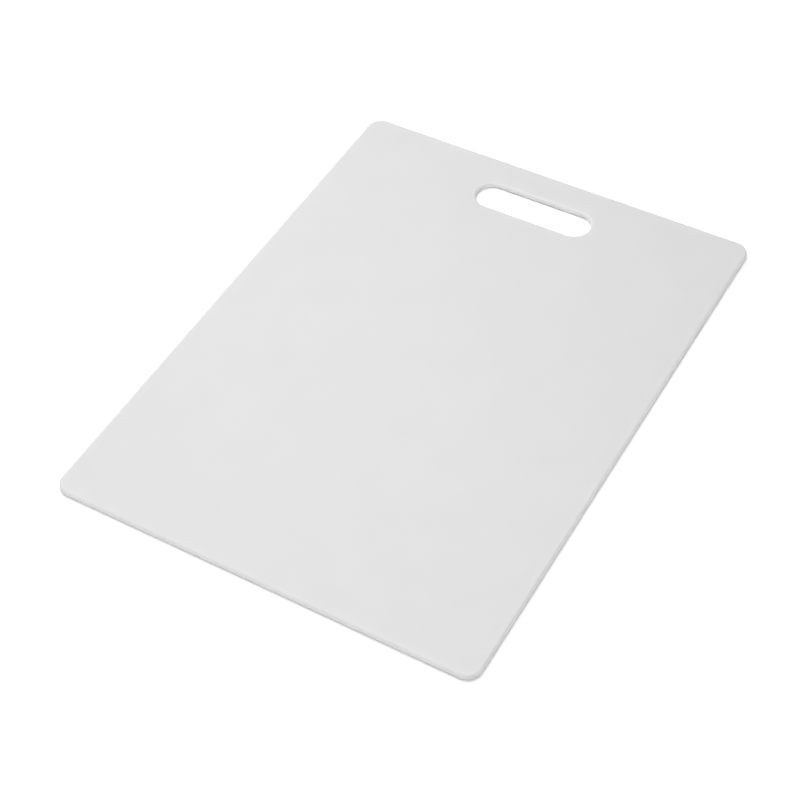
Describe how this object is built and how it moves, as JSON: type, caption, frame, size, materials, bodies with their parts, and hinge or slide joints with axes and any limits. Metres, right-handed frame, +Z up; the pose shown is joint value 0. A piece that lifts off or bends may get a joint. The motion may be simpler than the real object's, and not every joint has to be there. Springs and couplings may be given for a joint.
{
  "type": "cutting board",
  "caption": "Thin rectangular white polyethylene cutting board with rounded corners, rounded rims and a stadium-shaped hand slot through one short end.",
  "frame": {"origin": "centre of the underside, on the surface that the board lies on", "axes": "+Z up through the thickness, from the underside to the work face; +Y along the length, towards the short end with the hand slot; +X across the width"},
  "size_m": [0.2794, 0.3682, 0.004],
  "materials": {
    "white_polyethylene": "fine-grained matte, translucent white high-density polyethylene"
  },
  "bodies": {
    "root": {"board": "white_polyethylene"}
  },
  "joints": []
}
